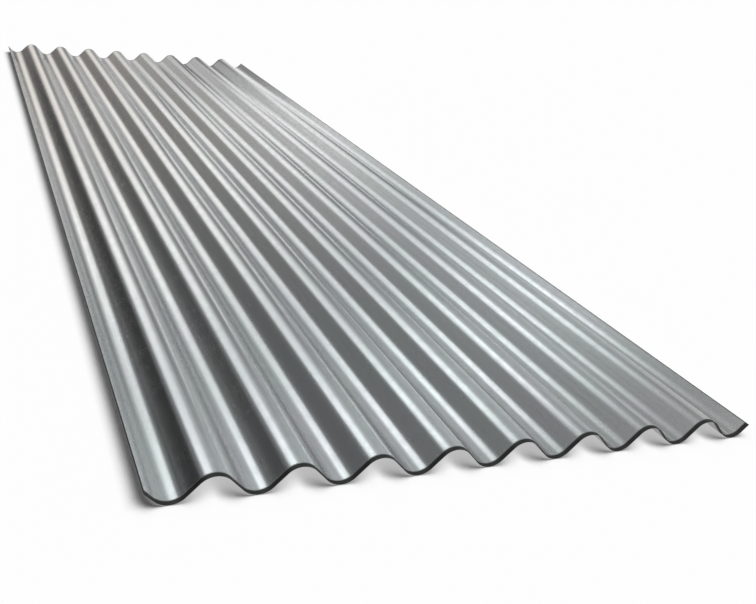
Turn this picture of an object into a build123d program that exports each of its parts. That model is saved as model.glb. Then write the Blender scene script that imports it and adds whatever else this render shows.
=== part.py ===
"""Corrugated metal sheet: one piece of roll-formed, zinc-coated steel.

Millimetres. X runs across the waves, Y along them, and +Z is up. The origin is the
middle of the rectangle that the sheet lies on, so every valley rests on Z = 0.
"""

import os
from math import cos, radians, sin, tan

from build123d import *

# Driving dimensions
pitch = 76.2
wave_count = 8
wave_depth = 24.0
flank_angle = 46.0
lip_flat = 11.5
sheet_thickness = 0.8
sheet_length = 2133.6

# The wave through the middle of the metal: equal bends joined by straight flanks
middle_depth = wave_depth - sheet_thickness
slope = radians(flank_angle)
bend_radius = (pitch / 2 * tan(slope) - middle_depth) / (2 / cos(slope) - 2)
flank_run = (pitch / 2 - 2 * bend_radius * sin(slope)) / cos(slope)

# The lowest point of the outermost valley on the left
first_valley = (-wave_count * pitch / 2, sheet_thickness / 2)


def straight(bend, run):
    """Draw the flat metal that carries on where a bend ends."""
    return Line(bend @ 1, bend @ 1 + (bend % 1) * run)


# The one piece: its wave is drawn across the sheet and drawn out along the length
with BuildPart() as corrugated_sheet:
    with BuildSketch(Plane.XZ) as section:
        with BuildLine() as middle_line:
            lip_bend = JernArc(first_valley, (-1, 0), bend_radius, -flank_angle)
            straight(lip_bend, lip_flat)
            valley = JernArc(first_valley, (1, 0), bend_radius, flank_angle)
            for wave in range(wave_count):
                rise = straight(valley, flank_run)
                crest = JernArc(rise @ 1, rise % 1, bend_radius, -2 * flank_angle)
                fall = straight(crest, flank_run)
                valley = JernArc(fall @ 1, fall % 1, bend_radius, 2 * flank_angle)
            straight(valley, lip_flat)
        trace(line_width=sheet_thickness)
    extrude(amount=sheet_length / 2, both=True)

corrugated_sheet.part.label = "corrugated_sheet"

os.makedirs("parts", exist_ok=True)
export_step(corrugated_sheet.part, "parts/corrugated_sheet.step")
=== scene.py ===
"""Looks of a corrugated metal sheet: one bright zinc-coated sheet on a pale studio floor.

Metres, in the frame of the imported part: X across the waves, Y along them and +Z up.
"""

from collections import namedtuple
from math import radians

import bpy
from bpy.props import FloatProperty, FloatVectorProperty, IntProperty, PointerProperty
from bpy.types import Operator, Panel, PropertyGroup
from mathutils import Matrix, Vector


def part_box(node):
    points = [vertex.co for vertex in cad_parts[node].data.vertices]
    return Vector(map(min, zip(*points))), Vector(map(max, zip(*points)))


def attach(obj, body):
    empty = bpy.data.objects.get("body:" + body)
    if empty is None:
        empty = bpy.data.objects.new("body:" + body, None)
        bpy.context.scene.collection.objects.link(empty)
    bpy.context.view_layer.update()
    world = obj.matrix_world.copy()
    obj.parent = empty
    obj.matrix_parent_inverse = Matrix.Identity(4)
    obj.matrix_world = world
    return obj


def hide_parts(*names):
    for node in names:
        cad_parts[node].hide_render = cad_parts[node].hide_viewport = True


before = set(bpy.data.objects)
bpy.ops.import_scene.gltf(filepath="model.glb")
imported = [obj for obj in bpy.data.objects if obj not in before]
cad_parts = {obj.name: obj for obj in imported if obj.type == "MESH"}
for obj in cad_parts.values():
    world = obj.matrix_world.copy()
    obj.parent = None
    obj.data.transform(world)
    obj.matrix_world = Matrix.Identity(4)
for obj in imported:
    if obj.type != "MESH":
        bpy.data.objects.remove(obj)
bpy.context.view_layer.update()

bl_info = {
    "name": "Corrugated Metal Sheet",
    "version": (1, 0, 0),
    "blender": (4, 5, 0),
    "location": "View3D > Sidebar > Sheet",
    "description": "Rolls a zinc-coated corrugated sheet and lights it in a pale studio",
    "category": "Add Mesh",
}

NODE = "corrugated_sheet"

# Each point of the sheet remembers its place on the flat strip, and how far it was from its edges
FLAT_PLACE = "flat_place"
FROM_EDGES = "from_edges"

lowest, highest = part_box(NODE)


class SheetSizes(PropertyGroup):
    """Sizes of the rolled sheet."""

    pitch: FloatProperty(
        name="Pitch", description="From one valley to the next",
        default=0.0762, unit="LENGTH", min=0.01,
    )
    waves: IntProperty(
        name="Waves", description="How many crests the sheet has", default=8, min=1,
    )
    depth: FloatProperty(
        name="Depth", description="From the lowest point to the highest, metal included",
        default=0.024, unit="LENGTH", min=0.001,
    )
    flank_angle: FloatProperty(
        name="Flank Angle", description="How steep the flanks of the wave are",
        default=radians(46), subtype="ANGLE", min=radians(20), max=radians(80),
    )
    lip_flat: FloatProperty(
        name="Lip Flat", description="Flat metal past the last bend at each long edge",
        default=0.0115, unit="LENGTH", min=0,
    )
    thickness: FloatProperty(
        name="Thickness", description="Thickness of the coated steel",
        default=0.0008, unit="LENGTH", min=0.0001,
    )
    length: FloatProperty(
        name="Length", description="Length of the sheet along its waves",
        default=highest.y - lowest.y, unit="LENGTH", min=0.01,
    )
    edge_round: FloatProperty(
        name="Edge Round", description="How far the sheared edges are broken",
        default=0.0001, unit="LENGTH", min=0,
    )
    ripple: FloatProperty(
        name="Ripple", description="How far the rolled metal strays from a true wave",
        default=0.00025, unit="LENGTH", min=0,
    )
    steps_across: IntProperty(
        name="Steps Across", description="Faces across the flat strip", default=440, min=8,
    )
    steps_along: IntProperty(
        name="Steps Along", description="Faces along the strip", default=80, min=1,
    )
    seed: IntProperty(
        name="Seed", description="Start of the random ripple", default=5,
    )


class SheetFinish(PropertyGroup):
    """Finish of the zinc coat and of the bare cut edges, with the painted shade along the edges."""

    zinc: FloatVectorProperty(
        name="Zinc", description="Colour of the bright zinc coat",
        subtype="COLOR", default=(0.77, 0.77, 0.77), min=0, max=1,
    )
    dull_zinc: FloatVectorProperty(
        name="Dull Zinc", description="Colour of the coat where it is drawn thin or dulled",
        subtype="COLOR", default=(0.63, 0.63, 0.63), min=0, max=1,
    )
    # Nearly black: the bare steel of the cut edges with painted shade over it, for the shadow line
    # along the sheet's edges
    bare_steel_and_shade: FloatVectorProperty(
        name="Bare Steel", description="Colour of the steel in the cut edges",
        subtype="COLOR", default=(0.05, 0.05, 0.05), min=0, max=1,
    )
    roughness: FloatProperty(
        name="Roughness", description="How much the coat blurs what it reflects",
        subtype="FACTOR", default=0.26, min=0.02, max=1,
    )
    # Painted shade, not a mark left by the shears: a dark rim on the faces along each cut end
    end_shade_margin: FloatProperty(
        name="End Margin", description="How far the shears darkened the faces along each cut end",
        unit="LENGTH", default=0.007, min=0.0001,
    )
    # Painted shade: a dark rim on the faces along each long edge
    side_shade_margin: FloatProperty(
        name="Side Margin", description="How far the faces are dark along each long edge",
        unit="LENGTH", default=0.0012, min=0.0001,
    )
    line_depth: FloatProperty(
        name="Line Depth", description="Depth of the fine rolling lines along the waves",
        unit="LENGTH", default=0.000012, min=0,
    )


class StudioLook(PropertyGroup):
    """Floor of the studio and the level of its light."""

    floor_colour: FloatVectorProperty(
        name="Floor", description="Colour of the studio floor",
        subtype="COLOR", default=(0.95, 0.95, 0.95), min=0, max=1,
    )
    light_level: FloatProperty(
        name="Light Level", description="Strength of all the light in the studio",
        default=1, min=0, soft_max=2,
    )
    floor_glow: FloatProperty(
        name="Floor Glow", description="How much of the floor is plain white to the camera",
        subtype="FACTOR", default=0.96, min=0, max=1,
    )
    contact_reach: FloatProperty(
        name="Contact Reach", description="How near the sheet has to be to darken the floor",
        default=0.022, unit="LENGTH", min=0,
    )


class Field:
    """A number that a node tree works out: plain arithmetic on it adds Math nodes."""

    def __init__(self, tree, socket):
        self.tree = tree
        self.socket = socket

    def __add__(self, other):
        return calculate("ADD", self, other)

    def __sub__(self, other):
        return calculate("SUBTRACT", self, other)

    def __rsub__(self, other):
        return calculate("SUBTRACT", other, self)

    def __mul__(self, other):
        return calculate("MULTIPLY", self, other)

    def __truediv__(self, other):
        return calculate("DIVIDE", self, other)

    def __rtruediv__(self, other):
        return calculate("DIVIDE", other, self)

    __radd__ = __add__
    __rmul__ = __mul__


def feed(tree, socket, value):
    """Give an input its value: a field, another node's output or a constant."""
    if isinstance(value, Field):
        value = value.socket
    if isinstance(value, bpy.types.NodeSocket):
        tree.links.new(value, socket)
    else:
        socket.default_value = value


def add_node(tree, kind, inputs=None, **settings):
    """Add one node with its settings, and feed its inputs by name or number."""
    node = tree.nodes.new(kind)
    for name, value in settings.items():
        setattr(node, name, value)
    for key, value in (inputs or {}).items():
        feed(tree, node.inputs[key], value)
    return node


def calculate(operation, *values):
    """Work out one Math operation on fields and plain numbers."""
    tree = next(value.tree for value in values if isinstance(value, Field))
    node = add_node(tree, "ShaderNodeMath", dict(enumerate(values)), operation=operation)
    return Field(tree, node.outputs[0])


def hold(field, low, high):
    """Keep a field between two limits."""
    return calculate("MAXIMUM", calculate("MINIMUM", field, high), low)


def vary(middle, *patterns):
    """Move a middle value up and down by patterns from 0 to 1, each with its own weight."""
    for pattern, weight in patterns:
        middle = middle + weight * (pattern - 0.5)
    return middle


def smooth_step(field, start, end):
    """Rise smoothly from 0 where the field is at start to 1 where it is at end."""
    node = add_node(
        field.tree, "ShaderNodeMapRange",
        {"Value": field, "From Min": start, "From Max": end},
        interpolation_type="SMOOTHSTEP",
    )
    return Field(field.tree, node.outputs["Result"])


def split_vector(tree, vector):
    """The three numbers of a vector, as fields."""
    node = add_node(tree, "ShaderNodeSeparateXYZ", {0: vector})
    return [Field(tree, output) for output in node.outputs]


def join_vector(tree, *numbers):
    """A vector made from three numbers."""
    return add_node(tree, "ShaderNodeCombineXYZ", dict(enumerate(numbers))).outputs[0]


def mix_colours(tree, share, first, second, how="MIX"):
    """Blend two colours by a share from 0, all the first, to 1, all the second."""
    node = add_node(
        tree, "ShaderNodeMix", {0: share, 6: first, 7: second}, data_type="RGBA", blend_type=how,
    )
    return node.outputs[2]


def bare_tree(owner):
    """The node tree of a new material or world, emptied."""
    owner.use_nodes = True
    owner.node_tree.nodes.clear()
    return owner.node_tree


def show_blend(tree, share, first, second):
    """Show two shaders blended by a share from 0, all the first, to 1, all the second."""
    blend = add_node(
        tree, "ShaderNodeMixShader", {0: share, 1: first.outputs[0], 2: second.outputs[0]},
    )
    add_node(tree, "ShaderNodeOutputMaterial", {"Surface": blend.outputs[0]})


# The sizes that the rolling mill takes, named as in the sheet's own sizes, and its material
WAVE_INPUTS = {
    "Pitch": "NodeSocketFloat",
    "Waves": "NodeSocketInt",
    "Depth": "NodeSocketFloat",
    "Flank Angle": "NodeSocketFloat",
    "Lip Flat": "NodeSocketFloat",
    "Thickness": "NodeSocketFloat",
    "Length": "NodeSocketFloat",
    "Edge Round": "NodeSocketFloat",
    "Ripple": "NodeSocketFloat",
    "Steps Across": "NodeSocketInt",
    "Steps Along": "NodeSocketInt",
    "Seed": "NodeSocketInt",
    "Coat": "NodeSocketMaterial",
}


def flat_strip(tree, size, width):
    """A flat strip of steel with broken edges, before it is rolled, which remembers its places."""
    # Points lie in four layers: the two faces, and between them the corners of the broken edges
    cube = add_node(tree, "GeometryNodeMeshCube", {
        "Size": join_vector(tree, width, size["Length"], size["Thickness"]),
        "Vertices X": size["Steps Across"] + 1,
        "Vertices Y": size["Steps Along"] + 1,
        "Vertices Z": 4,
    })
    place = add_node(tree, "GeometryNodeInputPosition").outputs[0]
    across, along, side = split_vector(tree, place)
    half_width = width / 2
    half_length = size["Length"] / 2
    half_metal = size["Thickness"] / 2
    on_face = calculate("GREATER_THAN", calculate("ABSOLUTE", side), half_metal / 2)
    inset = on_face * size["Edge Round"]
    trimmed_place = join_vector(
        tree,
        hold(across, inset - half_width, half_width - inset),
        hold(along, inset - half_length, half_length - inset),
        calculate("SIGN", side) * (half_metal - (1 - on_face) * size["Edge Round"]),
    )
    trimmed = add_node(
        tree, "GeometryNodeSetPosition",
        {"Geometry": cube.outputs["Mesh"], "Position": trimmed_place},
    ).outputs[0]
    placed = add_node(
        tree, "GeometryNodeStoreNamedAttribute",
        {"Geometry": trimmed, "Name": FLAT_PLACE, "Value": place},
        data_type="FLOAT_VECTOR", domain="POINT",
    ).outputs[0]
    from_edges = join_vector(
        tree, half_width - calculate("ABSOLUTE", across), half_length - calculate("ABSOLUTE", along),
    )
    return add_node(
        tree, "GeometryNodeStoreNamedAttribute",
        {"Geometry": placed, "Name": FROM_EDGES, "Value": from_edges},
        data_type="FLOAT_VECTOR", domain="POINT",
    ).outputs[0]


def wave_tree():
    """The rolling mill: a node tree that makes a flat strip and bends it into waves."""
    tree = bpy.data.node_groups.new("rolled_wave", "GeometryNodeTree")
    for name, kind in WAVE_INPUTS.items():
        tree.interface.new_socket(name=name, in_out="INPUT", socket_type=kind)
    tree.interface.new_socket(name="Geometry", in_out="OUTPUT", socket_type="NodeSocketGeometry")
    given = tree.nodes.new("NodeGroupInput").outputs
    size = {name: Field(tree, given[name]) for name in WAVE_INPUTS}

    slope = size["Flank Angle"]
    sine = calculate("SINE", slope)
    cosine = calculate("COSINE", slope)
    middle_depth = size["Depth"] - size["Thickness"]
    radius = (size["Pitch"] / 2 * sine / cosine - middle_depth) / (2 / cosine - 2)
    flank = (size["Pitch"] / 2 - 2 * radius * sine) / cosine
    bend = radius * slope
    half_wave = 2 * bend + flank
    body = 2 * half_wave * size["Waves"]
    width = body + 2 * (bend + size["Lip Flat"])
    strip = flat_strip(tree, size, width)

    place = add_node(tree, "GeometryNodeInputPosition").outputs[0]
    across, along, side = split_vector(tree, place)
    from_first = across + body / 2
    valley = hold(calculate("ROUND", from_first / (2 * half_wave)), 0, size["Waves"])
    from_valley = from_first - valley * 2 * half_wave
    way = calculate("SIGN", from_valley)
    run = calculate("ABSOLUTE", from_valley)
    inside = calculate("LESS_THAN", calculate("ABSOLUTE", across), body / 2)
    first_bend = calculate("MINIMUM", run, bend)
    last_bend = calculate("MAXIMUM", run - bend - flank, 0) * inside
    straight = calculate("MAXIMUM", run - bend, 0) - last_bend
    low_turn = first_bend / radius
    high_turn = slope - last_bend / radius
    tilt = low_turn - last_bend / radius
    reach = (
        radius * calculate("SINE", low_turn) + straight * cosine
        + radius * (sine - calculate("SINE", high_turn))
    )
    rise = (
        radius * (1 - calculate("COSINE", low_turn)) + straight * sine
        + radius * (calculate("COSINE", high_turn) - cosine)
    )

    # Slow swells, far longer along the strip than across it, that only lift the metal
    swell_width = 0.07
    swell_length = 0.45
    spot = join_vector(tree, across / swell_width, along / swell_length, size["Seed"])
    noise = add_node(tree, "ShaderNodeTexNoise", {"Vector": spot, "Scale": 1, "Detail": 1})
    stray = Field(tree, noise.outputs[0]) * size["Ripple"]

    middle = valley * size["Pitch"] - size["Waves"] * size["Pitch"] / 2
    x = middle + way * (reach - calculate("SINE", tilt) * side)
    z = size["Thickness"] / 2 + rise + calculate("COSINE", tilt) * side + stray
    rolled = add_node(tree, "GeometryNodeSetPosition", {
        "Geometry": strip, "Position": join_vector(tree, x, along, z),
    }).outputs[0]

    # Shading is smooth but for the broken edges
    sharp_angle = radians(30)
    smooth = add_node(
        tree, "GeometryNodeSetShadeSmooth", {"Geometry": rolled, "Shade Smooth": True}, domain="FACE",
    ).outputs[0]
    edge_angle = Field(tree, add_node(tree, "GeometryNodeInputMeshEdgeAngle").outputs[0])
    is_sharp = calculate("GREATER_THAN", edge_angle, sharp_angle)
    creased = add_node(
        tree, "GeometryNodeSetShadeSmooth",
        {"Geometry": smooth, "Selection": is_sharp, "Shade Smooth": False}, domain="EDGE",
    ).outputs[0]
    realized = add_node(tree, "GeometryNodeRealizeInstances", {"Geometry": creased}).outputs[0]
    coated = add_node(
        tree, "GeometryNodeSetMaterial", {"Geometry": realized, "Material": size["Coat"]},
    ).outputs[0]
    add_node(tree, "NodeGroupOutput", {"Geometry": coated})
    return tree


def lines_along(tree, place, spacing, length, detail=2):
    """Fine lines along the waves: noise drawn out along the strip. Gives a field from 0 to 1."""
    stretched = add_node(tree, "ShaderNodeMapping", {
        "Vector": place, "Scale": (1 / spacing, 1 / length, 1),
    }).outputs[0]
    noise = add_node(tree, "ShaderNodeTexNoise", {"Vector": stretched, "Scale": 1, "Detail": detail})
    return Field(tree, noise.outputs[0])


# The coat's bloom runs from a faint green to a faint pink
BLOOM_TINTS = ((0.98, 1, 0.98, 1), (1, 0.985, 1, 1))

# How much of what it reflects the coat keeps where it is seen almost edge on
GRAZING_TINT = (0.82, 0.82, 0.82, 1)


def zinc_coat(finish):
    """Bright rolled zinc with fine lines along the waves, and bare steel at the cut edges, painted
    nearly black, with dark rims beside them, as shade along the edges.
    """
    material = bpy.data.materials.new("bright_zinc_coat")
    tree = bare_tree(material)
    place, from_edges = [
        add_node(
            tree, "ShaderNodeAttribute", attribute_type="GEOMETRY", attribute_name=name,
        ).outputs["Vector"]
        for name in (FLAT_PLACE, FROM_EDGES)
    ]
    grain = lines_along(tree, place, spacing=0.0014, length=0.005)
    fine = lines_along(tree, place, spacing=0.0012, length=0.15)
    drawn = lines_along(tree, place, spacing=0.0045, length=1.2)
    clouds = lines_along(tree, place, spacing=0.012, length=0.02)
    bloom = lines_along(tree, place, spacing=0.04, length=0.15, detail=1)

    # The coat, dulled by its lines and tinted by its bloom
    dulling = vary(0.5, (grain, 1.1), (fine, 0.7), (drawn, 1.3), (clouds, 0.9))
    coat_colour = mix_colours(tree, dulling, (*finish.zinc, 1), (*finish.dull_zinc, 1))
    bloom_colour = mix_colours(tree, smooth_step(bloom, 0.35, 0.65), *BLOOM_TINTS)
    coat_colour = mix_colours(tree, 1, coat_colour, bloom_colour, "MULTIPLY")

    # The painted shade along the edges: the bare cut faces and dark rims beside them, which fade into
    # the coat past this share of their width
    full_share = 0.6
    from_side, from_end, _ = split_vector(tree, from_edges)
    cut_and_edge_shade = calculate(
        "MAXIMUM",
        smooth_step(from_side, finish.side_shade_margin, finish.side_shade_margin * full_share),
        smooth_step(from_end, finish.end_shade_margin, finish.end_shade_margin * full_share),
    )
    # The cut faces and the rims beside them take the dark colour of the painted shade
    colour = mix_colours(tree, cut_and_edge_shade, coat_colour, (*finish.bare_steel_and_shade, 1))

    cut_roughness = 0.25
    fine_relief = 0.06
    roughness = vary(finish.roughness, (drawn, 0.05), (clouds, 0.06)) + cut_roughness * cut_and_edge_shade
    relief = add_node(tree, "ShaderNodeBump", {
        "Height": fine_relief * fine + drawn, "Distance": finish.line_depth, "Strength": 1,
    }).outputs[0]
    shader = add_node(tree, "ShaderNodeBsdfPrincipled", {
        "Base Color": colour, "Metallic": 1, "Roughness": roughness, "Normal": relief,
        "Specular Tint": GRAZING_TINT,
    })
    add_node(tree, "ShaderNodeOutputMaterial", {"Surface": shader.outputs[0]})
    return material


class SHEET_OT_roll_sheet(Operator):
    """Roll the corrugated sheet from a flat strip of zinc-coated steel"""

    bl_idname = "sheet.roll_sheet"
    bl_label = "Roll the Sheet"

    def execute(self, context):
        sizes = context.scene.sheet_sizes
        coat = zinc_coat(context.scene.sheet_finish)
        tree = wave_tree()
        blank = bpy.data.objects.new("blank", bpy.data.meshes.new("blank"))
        context.collection.objects.link(blank)
        roller = blank.modifiers.new("rolled_wave", "NODES")
        roller.node_group = tree
        values = {
            name: coat if name == "Coat" else getattr(sizes, name.lower().replace(" ", "_"))
            for name in WAVE_INPUTS
        }
        for socket in tree.interface.items_tree:
            if socket.in_out == "INPUT":
                roller[socket.identifier] = values[socket.name]
        evaluated = blank.evaluated_get(context.evaluated_depsgraph_get())
        mesh = bpy.data.meshes.new_from_object(evaluated)
        bpy.data.objects.remove(blank)
        if not mesh.polygons:
            raise RuntimeError("the rolled sheet has no faces")
        mesh.name = "rolled_sheet"
        sheet = bpy.data.objects.new("rolled_sheet", mesh)
        context.collection.objects.link(sheet)
        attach(sheet, "root")
        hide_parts(NODE)
        return {"FINISHED"}


# A soft-edged patch of the studio's light, in degrees. Turn goes about the length of the sheet,
# from straight up towards +X, and reach goes from the length of the sheet towards straight up.
LightPatch = namedtuple(
    "LightPatch", "name turn half_width near far soft_turn soft_reach strength",
)

# Each patch lies over the ones before it
LIGHT_PATCHES = (
    LightPatch("room", 0, 180, 0, 90, 5, 5, 0.38),
    LightPatch("right_horizon", 105, 15, 0, 90, 18, 5, 0.26),
    LightPatch("right_far_band", 70, 45, 4, 29, 16, 5, 0.14),
    LightPatch("right_near_band", 65, 35, 38, 60, 16, 5, 0.58),
    LightPatch("left_side", -100, 60, 0, 90, 8, 5, 0.36),
    LightPatch("left_gap", -100, 60, 28, 90, 8, 12, 0.165),
    LightPatch("left_gap_core", -100, 35, 11, 90, 11, 5, 0.006),
    LightPatch("near_fade", -8, 40, 48, 90, 20, 3, 0.15),
    LightPatch("near_spread", 12, 8, 27, 46, 24, 5, 0.57),
    LightPatch("far_spread", 12, 8, 10, 27, 30, 4, 0.70),
    LightPatch("strip", -9, 8, 0, 44, 19, 4, 0.36),
    LightPatch("low_strip", -6, 10, 10, 25, 20, 4, 0.84),
    LightPatch("end_strip", 0, 10, 10, 14, 24, 4, 1.22),
    LightPatch("far_strip", -6, 11, 19, 26, 20, 4, 1.58),
    LightPatch("near_strip", -8, 7, 38, 43.5, 17, 3, 2.4),
    LightPatch("near_strip_edge", -25, 3, 36, 43, 6, 3, 1.85),
    LightPatch("left_shoulder", -32, 4, 15, 25, 5, 4, 1.30),
    LightPatch("overhead", 28, 68, 64, 90, 16, 9, 1.0),
)

# A tint that the light takes on for some degrees either side of a reach
LightTint = namedtuple("LightTint", "reach half_width soft_reach colour")

# Warm low past the ends of the sheet, and cool nearly halfway up
LIGHT_TINTS = (
    LightTint(0, 12, 8, (1.10, 1, 0.90)),
    LightTint(38, 8, 8, (0.925, 1, 1.02)),
)


def window(field, middle, half_width, soften):
    """Rise to 1 within half a width of the middle, and fall smoothly to 0 past it."""
    spread = calculate("ABSOLUTE", calculate("WRAP", field - middle, -180, 180))
    return smooth_step(spread, half_width + soften, half_width)


def studio_light(level):
    """One soft light all round the sheet, made of long patches of different strength."""
    world = bpy.data.worlds.new("studio_light")
    tree = bare_tree(world)
    direction = add_node(tree, "ShaderNodeTexCoord").outputs["Generated"]
    x, y, z = split_vector(tree, direction)
    turn = calculate("DEGREES", calculate("ARCTAN2", x, z))
    reach = calculate("DEGREES", calculate("ARCCOSINE", calculate("ABSOLUTE", y)))
    light = 0
    for patch in LIGHT_PATCHES:
        middle = (patch.near + patch.far) / 2
        share = window(turn, patch.turn, patch.half_width, patch.soft_turn)
        share *= window(reach, middle, patch.far - middle, patch.soft_reach)
        light = share * (patch.strength - light) + light
    colour = (1, 1, 1, 1)
    for tint in LIGHT_TINTS:
        share = window(reach, tint.reach, tint.half_width, tint.soft_reach)
        colour = mix_colours(tree, share, colour, (*tint.colour, 1), "MULTIPLY")
    background = add_node(
        tree, "ShaderNodeBackground", {"Color": colour, "Strength": light * level},
    )
    add_node(tree, "ShaderNodeOutputWorld", {"Surface": background.outputs[0]})
    return world


def floor_paint(look):
    """Pale paint that looks nearly white, with a soft shade beside and under the sheet."""
    material = bpy.data.materials.new("floor_paint")
    tree = bare_tree(material)
    paint = add_node(tree, "ShaderNodeBsdfDiffuse", {"Color": (*look.floor_colour, 1)})

    # The shade falls away from the light, and the hollows under the crests stay pale grey
    towards_light = Vector((0.35, 0.1, 0.9)).normalized()
    hollow_reach = look.contact_reach * 3
    hollow_white = 0.55
    shade_samples = 8
    beside_sheet = add_node(
        tree, "ShaderNodeAmbientOcclusion",
        {"Distance": look.contact_reach, "Normal": join_vector(tree, *towards_light)},
        samples=shade_samples,
    )
    under_sheet = add_node(
        tree, "ShaderNodeAmbientOcclusion", {"Distance": hollow_reach}, samples=shade_samples,
    )

    # How open the floor is where it starts to whiten and is white, and where a hollow starts
    # and is deep
    whitening = (0.3, 0.95)
    deepening = (0.45, 0)
    beside = smooth_step(Field(tree, beside_sheet.outputs["AO"]), *whitening)
    under = smooth_step(Field(tree, under_sheet.outputs["AO"]), *deepening)
    white = beside + (hollow_white - beside) * under
    glow = add_node(tree, "ShaderNodeEmission", {"Color": (1, 1, 1, 1), "Strength": white})

    # The camera, reflections and glass see a nearly white floor, and scattered light its paint
    path = add_node(tree, "ShaderNodeLightPath")
    seen, reflected, through_glass = [
        Field(tree, path.outputs[ray])
        for ray in ("Is Camera Ray", "Is Glossy Ray", "Is Transmission Ray")
    ]
    share = calculate("MINIMUM", seen + reflected + through_glass, 1) * look.floor_glow
    show_blend(tree, share, paint, glow)
    return material


def one_face(name, corners, paint):
    """A flat piece of the studio, made of one painted face."""
    mesh = bpy.data.meshes.new(name)
    mesh.from_pydata(corners, [], [(0, 1, 2, 3)])
    mesh.materials.append(paint)
    return bpy.data.objects.new(name, mesh)


def studio_floor(look):
    """A wide pale floor just under the sheet."""
    half_side = 60
    sink = 0.00005
    signs = ((-1, -1), (1, -1), (1, 1), (-1, 1))
    corners = [(x * half_side, y * half_side, -sink) for x, y in signs]
    return one_face("studio_floor", corners, floor_paint(look))


def panel_glow():
    """A pale glow with a dim band and a bright right side, which fades to the left and the top."""
    material = bpy.data.materials.new("panel_glow")
    tree = bare_tree(material)
    place = add_node(tree, "ShaderNodeTexCoord").outputs["Object"]
    across, _, up = split_vector(tree, place)
    plain = 0.66
    dimming = 0.46
    brightening = 0.7

    # Where each part starts and where it is full: the band out from its middle, the right side
    # and the left fade across the sheet, and the top fade above the floor
    band_middle = 0.235
    band_edge = (0.07, 0.02)
    right_edge = (0.3, 0.42)
    left_fade = (-0.25, 0.2)
    top_fade = (0.42, 0.2)
    in_band = smooth_step(calculate("ABSOLUTE", across - band_middle), *band_edge)
    on_right = smooth_step(across, *right_edge)
    strength = plain - dimming * in_band + brightening * on_right
    glow = add_node(tree, "ShaderNodeEmission", {"Strength": strength})
    clear = add_node(tree, "ShaderNodeBsdfTransparent")
    share = smooth_step(across, *left_fade) * smooth_step(up, *top_fade)
    show_blend(tree, share, clear, glow)
    return material


def far_panel():
    """A pale panel past the far end of the sheet that only reflections show."""
    past_end = 0.35
    stand = highest.y + past_end
    left, right, top = -0.3, 1.2, 0.45
    corners = [(left, stand, 0), (right, stand, 0), (right, stand, top), (left, stand, top)]
    panel = one_face("far_panel", corners, panel_glow())
    panel.visible_camera = False
    panel.visible_diffuse = False
    panel.visible_shadow = False
    return panel


def photo_camera():
    """The camera at the photo's viewing angle: left of the near end, looking along the sheet."""
    place = Vector((-0.4517, -1.6997, 0.4644))
    heading = radians(-26.002)
    dip = radians(22.172)
    roll = radians(8.421)
    lens = bpy.data.cameras.new("photo_camera")
    lens.sensor_width = 36
    lens.lens = 44.018
    lens.clip_end = 200
    camera = bpy.data.objects.new("photo_camera", lens)
    turn = (
        Matrix.Rotation(heading, 4, "Z") @ Matrix.Rotation(radians(90) - dip, 4, "X")
        @ Matrix.Rotation(roll, 4, "Z")
    )
    camera.matrix_world = Matrix.Translation(place) @ turn
    return camera


class SHEET_OT_set_stage(Operator):
    """Lay the studio floor, light it and set up the camera"""

    bl_idname = "sheet.set_stage"
    bl_label = "Set the Stage"

    def execute(self, context):
        look = context.scene.studio_look
        for piece in (studio_floor(look), far_panel()):
            context.collection.objects.link(piece)
        camera = photo_camera()
        context.collection.objects.link(camera)
        context.scene.camera = camera
        context.scene.world = studio_light(look.light_level)
        context.scene.view_settings.view_transform = "Standard"
        return {"FINISHED"}


class SHEET_PT_sidebar(Panel):
    """Sizes, finish and studio of the corrugated sheet"""

    bl_idname = "SHEET_PT_sidebar"
    bl_label = "Corrugated Metal Sheet"
    bl_space_type = "VIEW_3D"
    bl_region_type = "UI"
    bl_category = "Sheet"

    def draw(self, context):
        scene = context.scene
        for group in (scene.sheet_sizes, scene.sheet_finish, scene.studio_look):
            box = self.layout.box()
            for name in type(group).__annotations__:
                box.prop(group, name)
        self.layout.operator(SHEET_OT_roll_sheet.bl_idname)
        self.layout.operator(SHEET_OT_set_stage.bl_idname)


GROUPS = {"sheet_sizes": SheetSizes, "sheet_finish": SheetFinish, "studio_look": StudioLook}
CLASSES = (*GROUPS.values(), SHEET_OT_roll_sheet, SHEET_OT_set_stage, SHEET_PT_sidebar)


def register():
    for cls in CLASSES:
        bpy.utils.register_class(cls)
    for name, group in GROUPS.items():
        setattr(bpy.types.Scene, name, PointerProperty(type=group))


def unregister():
    for name in GROUPS:
        delattr(bpy.types.Scene, name)
    for cls in reversed(CLASSES):
        bpy.utils.unregister_class(cls)


def main():
    register()
    bpy.ops.sheet.set_stage()
    bpy.ops.sheet.roll_sheet()


if __name__ == "__main__":
    main()
